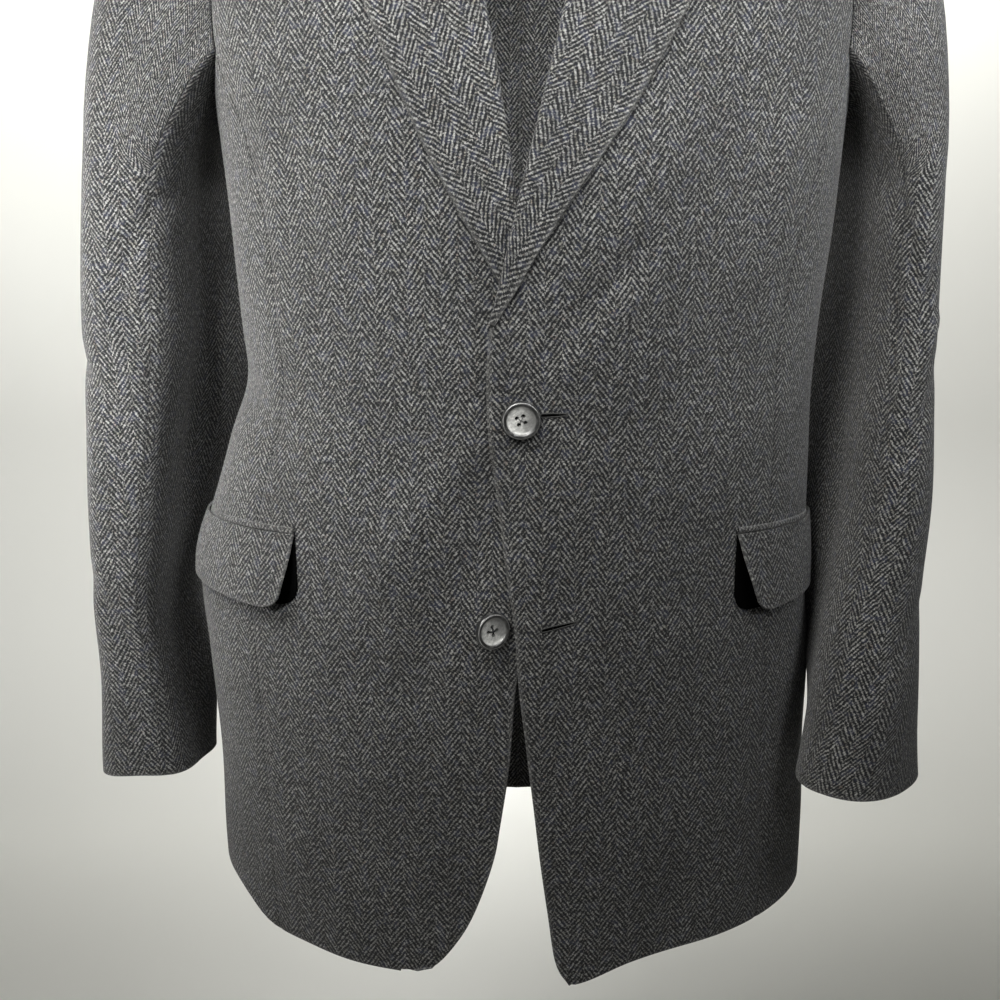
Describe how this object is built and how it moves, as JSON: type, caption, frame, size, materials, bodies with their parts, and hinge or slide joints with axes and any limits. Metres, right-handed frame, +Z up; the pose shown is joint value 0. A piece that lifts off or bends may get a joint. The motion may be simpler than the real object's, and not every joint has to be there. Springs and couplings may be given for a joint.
{
  "type": "tweed hacking jacket",
  "caption": "Single-breasted herringbone tweed jacket, worn-form hollow with sleeves hanging, notch lapels, flap pockets and the upper front button done up.",
  "frame": {"origin": "middle of the neck at the height of the shoulder seams, where the wearer's neck and shoulders hold the jacket", "axes": "+Z up, +X towards the wearer's left, -Y out of the chest"},
  "size_m": [0.5619, 0.2811, 0.8225],
  "materials": {
    "tweed": "matte woollen herringbone with a soft nap",
    "horn": "polished mottled horn"
  },
  "bodies": {
    "root": {"front_left": "tweed", "front_right": "tweed", "side_left": "tweed", "side_right": "tweed", "back_left": "tweed", "back_right": "tweed", "top_sleeve_left": "tweed", "under_sleeve_left": "tweed", "top_sleeve_right": "tweed", "under_sleeve_right": "tweed", "lapel_left": "tweed", "lapel_right": "tweed", "collar": "tweed", "pocket_jet_left": "tweed", "pocket_jet_right": "tweed", "pocket_flap_left": "tweed", "pocket_flap_right": "tweed", "button_upper": "horn", "button_lower": "horn"}
  },
  "joints": []
}
